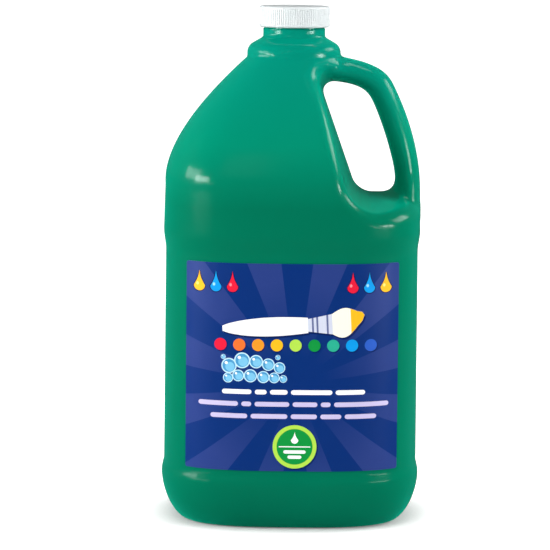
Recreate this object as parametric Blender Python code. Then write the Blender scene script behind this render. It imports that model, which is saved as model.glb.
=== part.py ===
"""One-gallon paint jug: blow-moulded bottle with a hollow side handle, screw cap, foam liner,
front and back labels, and the paint that fills it.

Metres, +Z up. The origin is on the neck's axis, on the surface that the jug stands on. The front is -Y
and the handle is at +X.
"""

import math

import bpy
from mathutils import Vector

MM = 0.001

# Body, as half sizes about the neck's axis.
PANEL_HALF_WIDTH = 74.0 * MM
PANEL_HALF_DEPTH = 69.5 * MM
PANEL_EXPONENT = 3.0
DRAFT = 0.5 * MM
BUMPER_RISE = 1.3 * MM
WALL = 1.1 * MM
GAP = 0.3 * MM

# Heights of the body's features.
PUSH_UP_HEIGHT = 3.5 * MM
HEEL_TOP = 27 * MM
PANEL_BOTTOM = 34.4 * MM
PANEL_TOP = 157.5 * MM
BUMPER_TOP = 170 * MM
SHOULDER_START = 196 * MM
COLLAR_BOTTOM = 270.2 * MM
COLLAR_EDGE = 274.8 * MM
CONE_BOTTOM = 277.4 * MM
NECK_BOTTOM = 281.9 * MM
NECK_STEP = (286.6 * MM, 287.0 * MM)
RIM_TOP = 296.6 * MM

# Base: a flat standing ring round a shallow push-up.
HEEL_REACH = 14.2 * MM
HEEL_POWER = 1.7
STANDING_RING_WIDTH = 6 * MM
PUSH_UP_SLOPE = 7 * MM

# Shoulder: a Bezier curve from the body's side to the collar, with its handles as (share of the way in,
# height).
SHOULDER_START_INSET = -0.6 * MM
SHOULDER_HANDLES = ((0.0, 200.4 * MM), (-0.083, 222.9 * MM))
SHOULDER_LEVELS = 9

# Collar and 38-400 neck.
COLLAR_RADIUS = 27.4 * MM
CONE_RADIUS = 25.9 * MM
COLLAR_EDGE_SWEEP = math.radians(60)
LOWER_NECK_RADIUS = 18.15 * MM
NECK_RADIUS = 17.6 * MM
BORE_RADIUS = 15.5 * MM
RIM_CHAMFER = 0.4 * MM
FUNNEL_WIDTH = 4 * MM
FUNNEL_HEIGHT = 2.5 * MM

# Thread: 6 turns to the inch, right-handed.
PITCH = 25.4 / 6 * MM
THREAD_STEPS = 40
TAPER_STEPS = 5
END_HEIGHT = 0.3
NECK_THREAD = {"root": 17.3 * MM, "crest": 18.7 * MM, "root_width": 2.0 * MM, "crest_width": 1.0 * MM}
NECK_THREAD_START = 289.9 * MM
NECK_THREAD_TURNS = 1.15
CAP_THREAD = {"root": 19.4 * MM, "crest": 17.9 * MM, "root_width": 1.7 * MM, "crest_width": 0.9 * MM}
CAP_THREAD_FIRST_TURN = 0.275
CAP_THREAD_TURNS = 1.0

# Handle: an oval tube along a path in the XZ plane, as (x, z, half thickness). Its two end points lie
# inside the body.
HANDLE_HALF_DEPTH = 14 * MM
HANDLE_SIDES = 16
HANDLE_STEPS = 2
HANDLE_PATH_MM = (
    (8, 260, 7.0),
    (20, 264.3, 7.0),
    (31, 263, 6.8),
    (41.4, 259.7, 7.3),
    (48.8, 255, 7.8),
    (53.6, 247.5, 7.6),
    (59.5, 233.3, 7.7),
    (64.0, 219, 7.6),
    (67.0, 204.8, 7.3),
    (67.8, 191, 7.4),
    (67.4, 178, 7.6),
)

# Pocket beside the handle: its inner corners as (x, z) and their radii, at the middle plane and at the
# body's front face. Between them its walls slope evenly. To the outside it is open.
POCKET_MIDDLE_MM = {"top": (14.0, 259.2), "bottom": (38.0, 191.6), "top_radius": 9, "bottom_radius": 8}
POCKET_FACE_MM = {"top": (9.9, 272), "bottom": (34.4, 182.4), "top_radius": 10, "bottom_radius": 17}
POCKET_FACE_DEPTH = 62 * MM
POCKET_SECTIONS = (1.4, 0.7, 0.0, -0.7, -1.4)
POCKET_OUTSIDE = 110 * MM
POCKET_CORNER_STEPS = 4

# Cap and its liner.
CAP_BOTTOM = 287.6 * MM
CAP_TOP = 300 * MM
CAP_RADIUS = 20.8 * MM
CAP_TOP_RADIUS = 19.4 * MM
CAP_BEVEL = 1.0 * MM
CAP_BORE = 19.1 * MM
CAP_LOWER_CHAMFER = 1.2 * MM
CAP_PLATE = 1.8 * MM
RIBS = 96
RIB_DEPTH = 0.35 * MM
LINER_RADIUS = 18.4 * MM
LINER_THICKNESS = 1.0 * MM

# Labels: sheets that follow the panel.
LABEL_THICKNESS = 0.3 * MM
LABEL_COLUMNS = 28
FRONT_LABEL = {"left": -60.2 * MM, "right": 61.6 * MM, "bottom": 35.4 * MM, "top": 155.2 * MM}
BACK_LABEL = {"left": -50.0 * MM, "right": 50.0 * MM, "bottom": 45.0 * MM, "top": 148.0 * MM}

FILL_LEVEL = 238.85 * MM

RING_POINTS = 48
ROUND_POINTS = 64
SHARP_ANGLE = math.radians(35)


def clear_scene():
    for item in list(bpy.data.objects):
        bpy.data.objects.remove(item, do_unlink=True)


def make_material(name, colour, roughness):
    material = bpy.data.materials.new(name)
    material.use_nodes = True
    shader = material.node_tree.nodes["Principled BSDF"]
    shader.inputs["Base Color"].default_value = (*colour, 1.0)
    shader.inputs["Roughness"].default_value = roughness
    shader.inputs["Metallic"].default_value = 0.0
    return material


def add_object(name, vertices, faces, material=None):
    mesh = bpy.data.meshes.new(name)
    mesh.from_pydata([tuple(v) for v in vertices], [], faces)
    mesh.validate()
    mesh.shade_smooth()
    mesh.set_sharp_from_angle(angle=SHARP_ANGLE)
    item = bpy.data.objects.new(name, mesh)
    if material is None:
        item.hide_render = True
        item.display_type = "WIRE"
    else:
        mesh.materials.append(material)
    bpy.context.scene.collection.objects.link(item)
    return item


def boolean(target, operation, other):
    modifier = target.modifiers.new(f"{operation.title()} {other.name}", "BOOLEAN")
    modifier.operation = operation
    modifier.object = other


def loft(name, rings, material=None):
    """A closed solid through rings of equal length, which run anticlockwise seen from its far end."""
    count = len(rings[0])
    vertices = [point for ring in rings for point in ring]
    faces = [tuple(reversed(range(count)))]
    for level in range(len(rings) - 1):
        for i in range(count):
            j = (i + 1) % count
            low, high = level * count, (level + 1) * count
            faces.append((low + i, low + j, high + j))
            faces.append((low + i, high + j, high + i))
    faces.append(tuple(range((len(rings) - 1) * count, len(rings) * count)))
    return add_object(name, vertices, faces, material)


def circle(radius, z, count=ROUND_POINTS):
    return [
        Vector((radius * math.cos(math.tau * i / count), radius * math.sin(math.tau * i / count), z))
        for i in range(count)
    ]


def bezier(start, handle_a, handle_b, end, t):
    s = 1 - t
    return s**3 * start + 3 * s * s * t * handle_a + 3 * s * t * t * handle_b + t**3 * end


def ease(t):
    return (1 - math.cos(math.pi * t)) / 2


def body_outline():
    """The body's side as (inset from the panel, height) up to the collar, bottom first."""
    bumper = -BUMPER_RISE
    reach = HEEL_REACH - BUMPER_RISE
    outline = [
        (reach + STANDING_RING_WIDTH + PUSH_UP_SLOPE, PUSH_UP_HEIGHT),
        (reach + STANDING_RING_WIDTH, 0.0),
        (reach, 0.0),
    ]
    heel_steps = 5
    for i in range(1, heel_steps + 1):
        angle = math.radians(90) * i / heel_steps
        out = math.sin(angle) ** (2 / HEEL_POWER)
        up = 1 - math.cos(angle) ** (2 / HEEL_POWER) if i < heel_steps else 1.0
        outline.append((reach - HEEL_REACH * out, HEEL_TOP * up))
    for t in (0.4, 0.7, 1.0):
        outline.append((bumper * (1 - ease(t)), HEEL_TOP + t * (PANEL_BOTTOM - HEEL_TOP)))
    for t in (0.0, 0.3, 0.6, 1.0):
        outline.append((bumper * ease(t), PANEL_TOP + t * (BUMPER_TOP - PANEL_TOP)))
    whole = PANEL_HALF_WIDTH - COLLAR_RADIUS - SHOULDER_START_INSET
    for i in range(SHOULDER_LEVELS + 1):
        t = i / SHOULDER_LEVELS
        share = bezier(0.0, SHOULDER_HANDLES[0][0], SHOULDER_HANDLES[1][0], 1.0, t)
        height = bezier(SHOULDER_START, SHOULDER_HANDLES[0][1], SHOULDER_HANDLES[1][1], COLLAR_BOTTOM, t)
        outline.append((SHOULDER_START_INSET + share * whole, height))
    return outline


def inward(outline, distance):
    """The outline moved inwards by a distance, square to itself."""
    moved = []
    for i, (inset, height) in enumerate(outline):
        before = outline[max(i - 1, 0)]
        after = outline[min(i + 1, len(outline) - 1)]
        along = Vector((after[0] - before[0], after[1] - before[1])).normalized()
        moved.append((inset + distance * along[1], height - distance * along[0]))
    return moved


def panel_half_width(z):
    """The label panel's half width, which grows a little towards the base."""
    return PANEL_HALF_WIDTH + DRAFT * max(0.0, 1 - z / PANEL_TOP)


def body_ring(inset, z):
    """A rounded-square ring that turns into a circle as it nears the collar."""
    share = min(max(inset / (PANEL_HALF_WIDTH - COLLAR_RADIUS), 0.0), 1.0) if z > BUMPER_TOP else 0.0
    depth_inset = inset + share * (PANEL_HALF_DEPTH - PANEL_HALF_WIDTH)
    half_width = panel_half_width(z) - inset
    half_depth = PANEL_HALF_DEPTH - depth_inset
    exponent = PANEL_EXPONENT + share * (2 - PANEL_EXPONENT)
    points = []
    for i in range(RING_POINTS):
        c = math.cos(math.tau * i / RING_POINTS)
        s = math.sin(math.tau * i / RING_POINTS)
        reach = (abs(c / half_width) ** exponent + abs(s / half_depth) ** exponent) ** (-1 / exponent)
        points.append(Vector((reach * c, reach * s, z)))
    return points


def outer_body(material):
    rings = [body_ring(inset, z) for inset, z in body_outline()]
    rings.append(circle(COLLAR_RADIUS, COLLAR_EDGE, RING_POINTS))
    edge_steps = 2
    for i in range(1, edge_steps + 1):
        angle = COLLAR_EDGE_SWEEP * i / edge_steps
        out = (1 - math.cos(angle)) / (1 - math.cos(COLLAR_EDGE_SWEEP))
        up = math.sin(angle) / math.sin(COLLAR_EDGE_SWEEP)
        radius = COLLAR_RADIUS - (COLLAR_RADIUS - CONE_RADIUS) * out
        rings.append(circle(radius, COLLAR_EDGE + (CONE_BOTTOM - COLLAR_EDGE) * up, RING_POINTS))
    rings.append(circle(LOWER_NECK_RADIUS, NECK_BOTTOM, RING_POINTS))
    rings.append(circle(LOWER_NECK_RADIUS, NECK_STEP[0], RING_POINTS))
    rings.append(circle(NECK_RADIUS, NECK_STEP[1], RING_POINTS))
    rings.append(circle(NECK_RADIUS, RIM_TOP - RIM_CHAMFER, RING_POINTS))
    rings.append(circle(NECK_RADIUS - RIM_CHAMFER, RIM_TOP, RING_POINTS))
    return loft("bottle", rings, material)


def inner_body(name, inset, top, material=None):
    """The body's inside, a distance in from its outside, up into the neck or to a flat level."""
    rings = [body_ring(*point) for point in inward(body_outline(), inset)]
    rings.append(circle(COLLAR_RADIUS - inset, COLLAR_EDGE - inset, RING_POINTS))
    bore = BORE_RADIUS - inset + WALL
    rings.append(circle(bore + FUNNEL_WIDTH, NECK_BOTTOM - FUNNEL_HEIGHT - inset, RING_POINTS))
    rings.append(circle(bore, NECK_BOTTOM, RING_POINTS))
    rings.append(circle(bore, top, RING_POINTS))
    return loft(name, rings, material)


def handle_centres():
    """The handle's path as (x, z, half thickness), on a Catmull-Rom curve through HANDLE_PATH_MM."""
    knots = [Vector(p) * MM for p in HANDLE_PATH_MM]
    points = []
    for i in range(len(knots) - 1):
        p0 = knots[max(i - 1, 0)]
        p1, p2 = knots[i], knots[i + 1]
        p3 = knots[min(i + 2, len(knots) - 1)]
        for step in range(HANDLE_STEPS):
            t = step / HANDLE_STEPS
            points.append(bezier(p1, p1 + (p2 - p0) / 6, p2 - (p3 - p1) / 6, p2, t))
    points.append(knots[-1])
    return points


def handle_tube(name, inset):
    centres = handle_centres()
    rings = []
    for i, centre in enumerate(centres):
        along = (centres[min(i + 1, len(centres) - 1)] - centres[max(i - 1, 0)]).to_2d().normalized()
        across = Vector((along[1], 0, -along[0]))
        ring = []
        for side in range(HANDLE_SIDES):
            angle = math.tau * side / HANDLE_SIDES
            out = (centre[2] - inset) * math.cos(angle)
            depth = (HANDLE_HALF_DEPTH - inset) * math.sin(angle)
            ring.append(Vector((centre[0], 0, centre[1])) + across * out + Vector((0, -depth, 0)))
        rings.append(ring)
    return loft(name, rings)


def rounded_corner(corner, before, after, radius):
    """Points of a round corner between two straight sides."""
    a = (before - corner).normalized()
    b = (after - corner).normalized()
    half = a.angle(b) / 2
    centre = corner + (a + b).normalized() * radius / math.sin(half)
    first = corner + a * radius / math.tan(half) - centre
    last = corner + b * radius / math.tan(half) - centre
    sweep = math.pi - 2 * half
    points = []
    for i in range(POCKET_CORNER_STEPS + 1):
        t = i / POCKET_CORNER_STEPS
        spoke = first * math.sin((1 - t) * sweep) + last * math.sin(t * sweep)
        points.append(centre + spoke / math.sin(sweep))
    return points


def pocket_section(y, grow):
    """The pocket's outline at one depth, as a closed ring in the XZ plane, grown by a distance."""
    share = abs(y) / POCKET_FACE_DEPTH

    def between(key):
        start, end = POCKET_MIDDLE_MM[key], POCKET_FACE_MM[key]
        if isinstance(start, tuple):
            return Vector(start).lerp(Vector(end), share) * MM
        return (start + share * (end - start)) * MM

    top = between("top")
    bottom = between("bottom")
    top_out = Vector((POCKET_OUTSIDE, top[1]))
    bottom_out = Vector((POCKET_OUTSIDE, bottom[1]))
    top += Vector((-grow, grow))
    top_out += Vector((0, grow))
    bottom += Vector((-grow, -grow))
    bottom_out += Vector((0, -grow))
    outline = rounded_corner(top, top_out, bottom, between("top_radius") + grow)
    outline += rounded_corner(bottom, top, bottom_out, between("bottom_radius") + grow)
    outline += [bottom_out, top_out]
    return [Vector((x, y, z)) for x, z in outline]


def pocket(name, grow):
    return loft(name, [pocket_section(share * POCKET_FACE_DEPTH, grow) for share in POCKET_SECTIONS])


def hollow(name, inset, top, material=None):
    """The space inside the bottle's walls, handle included."""
    inside = inner_body(name, inset, top, material)
    boolean(inside, "DIFFERENCE", pocket(f"{name}_pocket", inset))
    boolean(inside, "UNION", handle_tube(f"{name}_handle", inset))
    return inside


def thread(name, form, start, first_turn, turns):
    """A helical ridge whose ends fade out. Its root lies inside the wall that it stands on."""
    steps = round(turns * THREAD_STEPS)
    rings = []
    for i in range(steps + 1):
        turn = first_turn + i / THREAD_STEPS
        fade = min(1.0, (i + 0.5) / TAPER_STEPS, (steps - i + 0.5) / TAPER_STEPS)
        crest = form["root"] + (form["crest"] - form["root"]) * (END_HEIGHT + (1 - END_HEIGHT) * fade)
        direction = Vector((math.cos(math.tau * turn), math.sin(math.tau * turn), 0))
        middle = Vector((0, 0, start + PITCH * turn))
        root_rise = Vector((0, 0, form["root_width"] / 2))
        crest_rise = Vector((0, 0, form["crest_width"] / 2))
        section = [
            middle + direction * form["root"] - root_rise,
            middle + direction * crest - crest_rise,
            middle + direction * crest + crest_rise,
            middle + direction * form["root"] + root_rise,
        ]
        if crest < form["root"]:
            section.reverse()
        rings.append(list(reversed(section)))
    return loft(name, rings)


def make_bottle(material):
    bottle = outer_body(material)
    boolean(bottle, "DIFFERENCE", pocket("pocket_cutter", 0.0))
    boolean(bottle, "UNION", handle_tube("handle_form", 0.0))
    boolean(bottle, "DIFFERENCE", hollow("hollow_cutter", WALL, RIM_TOP + 5 * MM))
    ridge = thread("neck_thread_form", NECK_THREAD, NECK_THREAD_START, 0.0, NECK_THREAD_TURNS)
    boolean(bottle, "UNION", ridge)
    return bottle


def make_paint(material):
    paint = hollow("paint", WALL + GAP, RIM_TOP, material)
    reach = 2 * PANEL_HALF_WIDTH
    levels = [circle(reach, z, 4) for z in (FILL_LEVEL, FILL_LEVEL + reach)]
    boolean(paint, "DIFFERENCE", loft("fill_cutter", levels))
    return paint


def ribbed_ring(radius, depth, z):
    """A ring of ribs: its points stand in turn at the rib tops and the grooves."""
    points = []
    for i in range(2 * RIBS):
        angle = math.tau * (i + 0.5) / (2 * RIBS)
        reach = radius - depth * (i % 2)
        points.append(Vector((reach * math.cos(angle), reach * math.sin(angle), z)))
    return points


def make_cap(material):
    rings = [
        ribbed_ring(CAP_RADIUS - CAP_LOWER_CHAMFER, 0.0, 0.0),
        ribbed_ring(CAP_RADIUS, RIB_DEPTH, CAP_LOWER_CHAMFER),
        ribbed_ring(CAP_RADIUS, RIB_DEPTH, CAP_TOP - CAP_BOTTOM - CAP_BEVEL),
        ribbed_ring(CAP_TOP_RADIUS, 0.0, CAP_TOP - CAP_BOTTOM),
    ]
    cap = loft("cap", rings, material)
    cap.location = (0, 0, CAP_BOTTOM)
    roof = CAP_TOP - CAP_PLATE
    bore = loft("cap_bore_cutter", [circle(CAP_BORE, CAP_BOTTOM - 5 * MM), circle(CAP_BORE, roof)])
    boolean(cap, "DIFFERENCE", bore)
    start = NECK_THREAD_START - PITCH / 2
    ridge = thread("cap_thread_form", CAP_THREAD, start, CAP_THREAD_FIRST_TURN, CAP_THREAD_TURNS)
    boolean(cap, "UNION", ridge)
    return cap


def make_liner(material):
    bottom = RIM_TOP + GAP
    liner = loft("cap_liner", [circle(LINER_RADIUS, 0.0), circle(LINER_RADIUS, LINER_THICKNESS)], material)
    liner.location = (0, 0, bottom)
    return liner


def panel_point(x, z, offset):
    """A point on the panel's front at x and a height, moved out along its normal."""
    n = PANEL_EXPONENT
    half_width = panel_half_width(z)
    y = -PANEL_HALF_DEPTH * (1 - abs(x / half_width) ** n) ** (1 / n)
    slope = Vector(
        (
            math.copysign(abs(x / half_width) ** (n - 1), x) / half_width,
            -(abs(y / PANEL_HALF_DEPTH) ** (n - 1)) / PANEL_HALF_DEPTH,
        )
    ).normalized()
    return Vector((x, y)) + slope * offset


def make_label(name, size, side, material):
    """A thin sheet on the panel. Side is 1 for the front and -1 for the back."""
    xs = [
        size["left"] + (size["right"] - size["left"]) * i / LABEL_COLUMNS
        for i in range(LABEL_COLUMNS + 1)
    ]
    rings = []
    for z in (size["bottom"], size["top"]):
        near = [panel_point(x, z, GAP) for x in xs]
        far = [panel_point(x, z, GAP + LABEL_THICKNESS) for x in reversed(xs)]
        ring = [Vector((side * x, side * y, z)) for x, y in reversed(near + far)]
        rings.append(ring)
    return loft(name, rings, material)


def main():
    clear_scene()
    green = make_material("green_plastic", (0.003, 0.262, 0.155), 0.38)
    white = make_material("white_plastic", (0.80, 0.83, 0.84), 0.42)
    foam = make_material("liner_foam", (0.86, 0.86, 0.84), 0.85)
    paper = make_material("label_film", (0.012, 0.035, 0.20), 0.35)
    liquid = make_material("green_paint", (0.0, 0.20, 0.11), 0.30)
    jug = bpy.data.objects.new("jug", None)
    bpy.context.scene.collection.objects.link(jug)
    pieces = [
        make_bottle(green),
        make_paint(liquid),
        make_cap(white),
        make_liner(foam),
        make_label("front_label", FRONT_LABEL, 1, paper),
        make_label("back_label", BACK_LABEL, -1, paper),
    ]
    for piece in pieces:
        piece.parent = jug


main()
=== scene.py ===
"""Looks for the one-gallon paint jug: a glossy moulded bottle, a ribbed cap, its liner, paint and labels.

Metres, in the CAD's frame: +Z up, the front label faces -Y and the handle is at +X.
"""

import math

import bpy
import numpy as np
from mathutils import Matrix, Vector
from mathutils.geometry import delaunay_2d_cdt


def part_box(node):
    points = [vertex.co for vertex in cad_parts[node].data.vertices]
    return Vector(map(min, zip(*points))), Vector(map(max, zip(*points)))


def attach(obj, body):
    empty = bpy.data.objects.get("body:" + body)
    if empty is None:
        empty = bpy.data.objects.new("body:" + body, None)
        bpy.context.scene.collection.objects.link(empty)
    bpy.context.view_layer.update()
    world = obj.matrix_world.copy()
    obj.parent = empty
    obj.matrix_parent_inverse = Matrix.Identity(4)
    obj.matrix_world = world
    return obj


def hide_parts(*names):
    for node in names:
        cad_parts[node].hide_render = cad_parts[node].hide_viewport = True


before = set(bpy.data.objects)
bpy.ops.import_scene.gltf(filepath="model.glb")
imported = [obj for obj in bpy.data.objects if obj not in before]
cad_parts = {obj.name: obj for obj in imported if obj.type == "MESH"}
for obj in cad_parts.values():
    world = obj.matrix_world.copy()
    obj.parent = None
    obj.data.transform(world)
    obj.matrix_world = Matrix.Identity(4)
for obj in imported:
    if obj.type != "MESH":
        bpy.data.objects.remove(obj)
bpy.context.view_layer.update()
MM = 0.001

BOTTLE_LOW, BOTTLE_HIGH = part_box("bottle")
CAP_LOW, CAP_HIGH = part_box("cap")
PAINT_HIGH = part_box("paint")[1]

# Body. The bumpers above and below the label panel stand proud of it.
BUMPER_RISE = 1.3 * MM
DRAFT = 0.5 * MM
PANEL_EXPONENT = 3.0
WALL = 1.1 * MM
PAINT_GAP = 0.3 * MM
HEEL_TOP = 27 * MM
HEEL_REACH = 14.2 * MM
HEEL_POWER = 1.7
PANEL_BOTTOM = 34.4 * MM
PANEL_TOP = 157.5 * MM
BUMPER_TOP = 170 * MM
SHOULDER_START = 196 * MM
SHOULDER_START_INSET = -0.6 * MM
SHOULDER_HANDLES = ((0.0, 200.4 * MM), (-0.083, 222.9 * MM))
PUSH_UP_HEIGHT = 3.5 * MM
STANDING_RING_WIDTH = 6 * MM
PUSH_UP_SLOPE = 7 * MM
BASE_EDGE_RADIUS = 1.5 * MM
PANEL_WIDTH = BOTTLE_HIGH.x - BUMPER_RISE - DRAFT * (1 - HEEL_TOP / PANEL_TOP)
PANEL_DEPTH = BOTTLE_HIGH.y - BUMPER_RISE

# Collar, neck and rim.
COLLAR_BOTTOM = 270.2 * MM
COLLAR_RADIUS = 27.4 * MM
COLLAR_EDGE_RADIUS = 3.0 * MM
CONE_BOTTOM = (27.4 * MM, 276.5 * MM)
NECK_BOTTOM = 281.9 * MM
LOWER_NECK_RADIUS = 18.15 * MM
NECK_STEP = (286.6 * MM, 287.0 * MM)
NECK_RADIUS = 17.6 * MM
NECK_FILLET = 0.8 * MM
BORE_RADIUS = 15.5 * MM
RIM_TOP = BOTTLE_HIGH.z
RIM_ROUND = 0.5 * MM
SEAM_HEIGHT = 283.8 * MM
SEAM_GAP = 0.7 * MM

# Thread: 6 turns to the inch, right-handed.
PITCH = 25.4 / 6 * MM
NECK_THREAD = {"start": 289.9 * MM, "first": 0.0, "turns": 1.15, "height": 1.1 * MM, "half_width": 1.0 * MM}
CAP_THREAD = {
    "start": 289.9 * MM - PITCH / 2,
    "first": 0.275,
    "turns": 1.0,
    "height": 1.2 * MM,
    "half_width": 0.85 * MM,
}
THREAD_FADE = 0.125
THREAD_STEEPNESS = 1.6
THREAD_REACH = 1.15

# Handle: its centre line and half thickness (x, z, half), in millimetres.
HANDLE_PATH_MM = (
    (8, 260, 7.0),
    (20, 264.3, 7.0),
    (31, 263, 6.8),
    (41.4, 259.7, 7.3),
    (48.8, 255, 7.8),
    (53.6, 247.5, 7.6),
    (59.5, 233.3, 7.7),
    (64.0, 219, 7.6),
    (67.0, 204.8, 7.3),
    (67.8, 191, 7.4),
    (67.4, 178, 7.6),
)
HANDLE_DEPTH = 14 * MM
HANDLE_FLARE = 14 * MM
HANDLE_FLARE_HEIGHTS = (206 * MM, 174 * MM)
HANDLE_BLEND = 9 * MM
HANDLE_BLEND_TOP = 2 * MM
HANDLE_BLEND_TOP_HEIGHTS = (258 * MM, 268 * MM)
HANDLE_BLEND_FLUSH = 2.0 * MM
FLUSH_ZONE_X = (62 * MM, 69 * MM)

# Pocket beside the handle: corners (x, z) and radii in millimetres at the middle plane and at the face.
POCKET_MIDDLE_MM = {"top": (14.0, 259.2), "bottom": (38.0, 191.6), "top_radius": 9, "bottom_radius": 8}
POCKET_FACE_MM = {"top": (9.9, 272), "bottom": (34.4, 182.4), "top_radius": 10, "bottom_radius": 17}
POCKET_FACE_DEPTH = 62 * MM
RIDGE_RADIUS = 6.5 * MM
RIDGE_GROWTH = 2.5 * MM
RIDGE_GROWTH_HEIGHTS = (236 * MM, 262 * MM)
RIDGE_GROWTH_X = (46 * MM, 72 * MM)

# Cap.
CAP_RADIUS = CAP_HIGH.x
CAP_TOP_RADIUS = 19.4 * MM
CAP_TOP_ROUND = 1.4 * MM
CAP_BOTTOM_ROUND = 1.3 * MM
CAP_BORE = 19.1 * MM
CAP_PLATE = 1.8 * MM
CAP_ROOF_ROUND = 0.5 * MM
CAP_LIP = 0.3 * MM
CAP_DISH = 0.12 * MM
RIBS = 96
RIB_DEPTH = 0.35 * MM
RIB_FADE_BOTTOM = 0.8 * MM
RIB_FADE_TOP = 0.9 * MM
GROOVE_START = 0.10
GROOVE_FLANK = 0.45

# Mesh steps.
OUTSIDE_STEP = 1.5 * MM
INSIDE_STEP = 3.0 * MM
NECK_COLUMNS = 144
RIB_SAMPLES = 8


# ---------------------------------------------------------------- shapes as distances


def bezier(start, handle_a, handle_b, end, t):
    s = 1 - t
    return s**3 * start + 3 * s * s * t * handle_a + 3 * s * t * t * handle_b + t**3 * end


def ease(t):
    return (1 - np.cos(math.pi * np.clip(t, 0, 1))) / 2


def round_max(a, b, radius):
    """The larger of two distances, with the edge where they meet rounded off."""
    corner = np.hypot(np.maximum(a + radius, 0), np.maximum(b + radius, 0))
    return np.minimum(np.maximum(a, b), -radius) + corner


def smooth_min(a, b, width):
    """The smaller of two distances, with a fillet between them."""
    share = np.clip(0.5 + 0.5 * (b - a) / width, 0, 1)
    return b + (a - b) * share - width * share * (1 - share)


def ellipse_distance(u, v, half_u, half_v):
    """Roughly the distance outside an ellipse."""
    near = np.hypot(u / half_u, v / half_v)
    slope = np.hypot(u / half_u**2, v / half_v**2)
    return near * (near - 1) / np.maximum(slope, 1e-6)


def side_outline():
    """The body's side from the base to the collar, as heights and insets from the label panel."""
    turn = np.radians(np.linspace(0, 90, 200))
    step = np.linspace(0, 1, 60)[1:]
    along = np.linspace(0, 1, 500)
    whole = PANEL_WIDTH - COLLAR_RADIUS - SHOULDER_START_INSET
    share = bezier(0.0, SHOULDER_HANDLES[0][0], SHOULDER_HANDLES[1][0], 1.0, along)
    rise = bezier(SHOULDER_START, SHOULDER_HANDLES[0][1], SHOULDER_HANDLES[1][1], COLLAR_BOTTOM, along)
    heights = [
        HEEL_TOP * (1 - np.abs(np.cos(turn)) ** (2 / HEEL_POWER)),
        HEEL_TOP + step * (PANEL_BOTTOM - HEEL_TOP),
        PANEL_TOP + step * (BUMPER_TOP - PANEL_TOP),
        rise,
    ]
    insets = [
        HEEL_REACH * (1 - np.sin(turn) ** (2 / HEEL_POWER)) - BUMPER_RISE,
        -BUMPER_RISE * (1 - ease(step)),
        -BUMPER_RISE * ease(step),
        SHOULDER_START_INSET + share * whole,
    ]
    return np.concatenate(heights), np.concatenate(insets)


OUTLINE_HEIGHTS, OUTLINE_INSETS = side_outline()


def panel_width(z):
    """The label panel's half width, which grows a little towards the base."""
    return PANEL_WIDTH + DRAFT * np.maximum(0, 1 - z / PANEL_TOP)


def body_distance(x, y, z, wall):
    """Roughly the distance outside the body up to the collar, without its pocket and handle."""
    inset = np.interp(z, OUTLINE_HEIGHTS, OUTLINE_INSETS)
    step = 0.4 * MM
    ahead = np.interp(z + step, OUTLINE_HEIGHTS, OUTLINE_INSETS)
    behind = np.interp(z - step, OUTLINE_HEIGHTS, OUTLINE_INSETS)
    steepness = 1 / np.hypot(1, (ahead - behind) / (2 * step))
    share = np.clip(inset / (PANEL_WIDTH - COLLAR_RADIUS), 0, 1) * (z > BUMPER_TOP)
    width = panel_width(z) - inset
    depth = PANEL_DEPTH - inset - share * (PANEL_DEPTH - PANEL_WIDTH)
    power = PANEL_EXPONENT + share * (2 - PANEL_EXPONENT)
    norm = (np.abs(x / width) ** power + np.abs(y / depth) ** power) ** (1 / power)
    side = np.hypot(x, y) * (1 - 1 / np.maximum(norm, 1e-3)) * steepness
    flat_norm = np.abs(x / PANEL_WIDTH) ** PANEL_EXPONENT + np.abs(y / PANEL_DEPTH) ** PANEL_EXPONENT
    from_panel = PANEL_WIDTH * (1 - flat_norm ** (1 / PANEL_EXPONENT))
    ring_inside = HEEL_REACH - BUMPER_RISE + STANDING_RING_WIDTH
    floor = PUSH_UP_HEIGHT * ease((from_panel - ring_inside) / PUSH_UP_SLOPE)
    body = round_max(side + wall, floor + wall - z, BASE_EDGE_RADIUS)
    run = CONE_BOTTOM[0] - LOWER_NECK_RADIUS
    rise = NECK_BOTTOM - CONE_BOTTOM[1]
    cone = ((np.hypot(x, y) - LOWER_NECK_RADIUS) * rise + (z - NECK_BOTTOM) * run) / math.hypot(rise, run)
    return round_max(body, cone + wall, COLLAR_EDGE_RADIUS)


def pocket_distance(x, y, z):
    """Roughly the distance outside the pocket that is cut beside the handle."""
    share = np.abs(y) / POCKET_FACE_DEPTH

    def between(key, index=None):
        start, end = POCKET_MIDDLE_MM[key], POCKET_FACE_MM[key]
        if index is not None:
            start, end = start[index], end[index]
        return (start + share * (end - start)) * MM

    top_x, top_z = between("top", 0), between("top", 1)
    bottom_x, bottom_z = between("bottom", 0), between("bottom", 1)
    run_x, run_z = bottom_x - top_x, bottom_z - top_z
    left = ((x - top_x) * run_z - (z - top_z) * run_x) / np.hypot(run_x, run_z)
    lower = round_max(left, bottom_z - z, between("bottom_radius"))
    return round_max(lower, z - top_z, between("top_radius"))


def ridge_radius(x, z):
    """The radius of the pocket's edge, which softens towards its top and its open side."""
    low, high = RIDGE_GROWTH_HEIGHTS
    start, end = RIDGE_GROWTH_X
    growth = np.maximum(ease((z - low) / (high - low)), ease((x - start) / (end - start)))
    return RIDGE_RADIUS + RIDGE_GROWTH * growth


def handle_line():
    """The handle's centre line, a smooth curve through its path, as points (x, z, half thickness)."""
    knots = np.array(HANDLE_PATH_MM, float) * MM
    points = []
    for i in range(len(knots) - 1):
        before, after = knots[max(i - 1, 0)], knots[min(i + 2, len(knots) - 1)]
        leave = knots[i] + (knots[i + 1] - before) / 6
        arrive = knots[i + 1] - (after - knots[i]) / 6
        points += [bezier(knots[i], leave, arrive, knots[i + 1], t) for t in np.arange(0, 1, 0.2)]
    return np.array([*points, knots[-1]])


HANDLE_LINE = handle_line()


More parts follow.
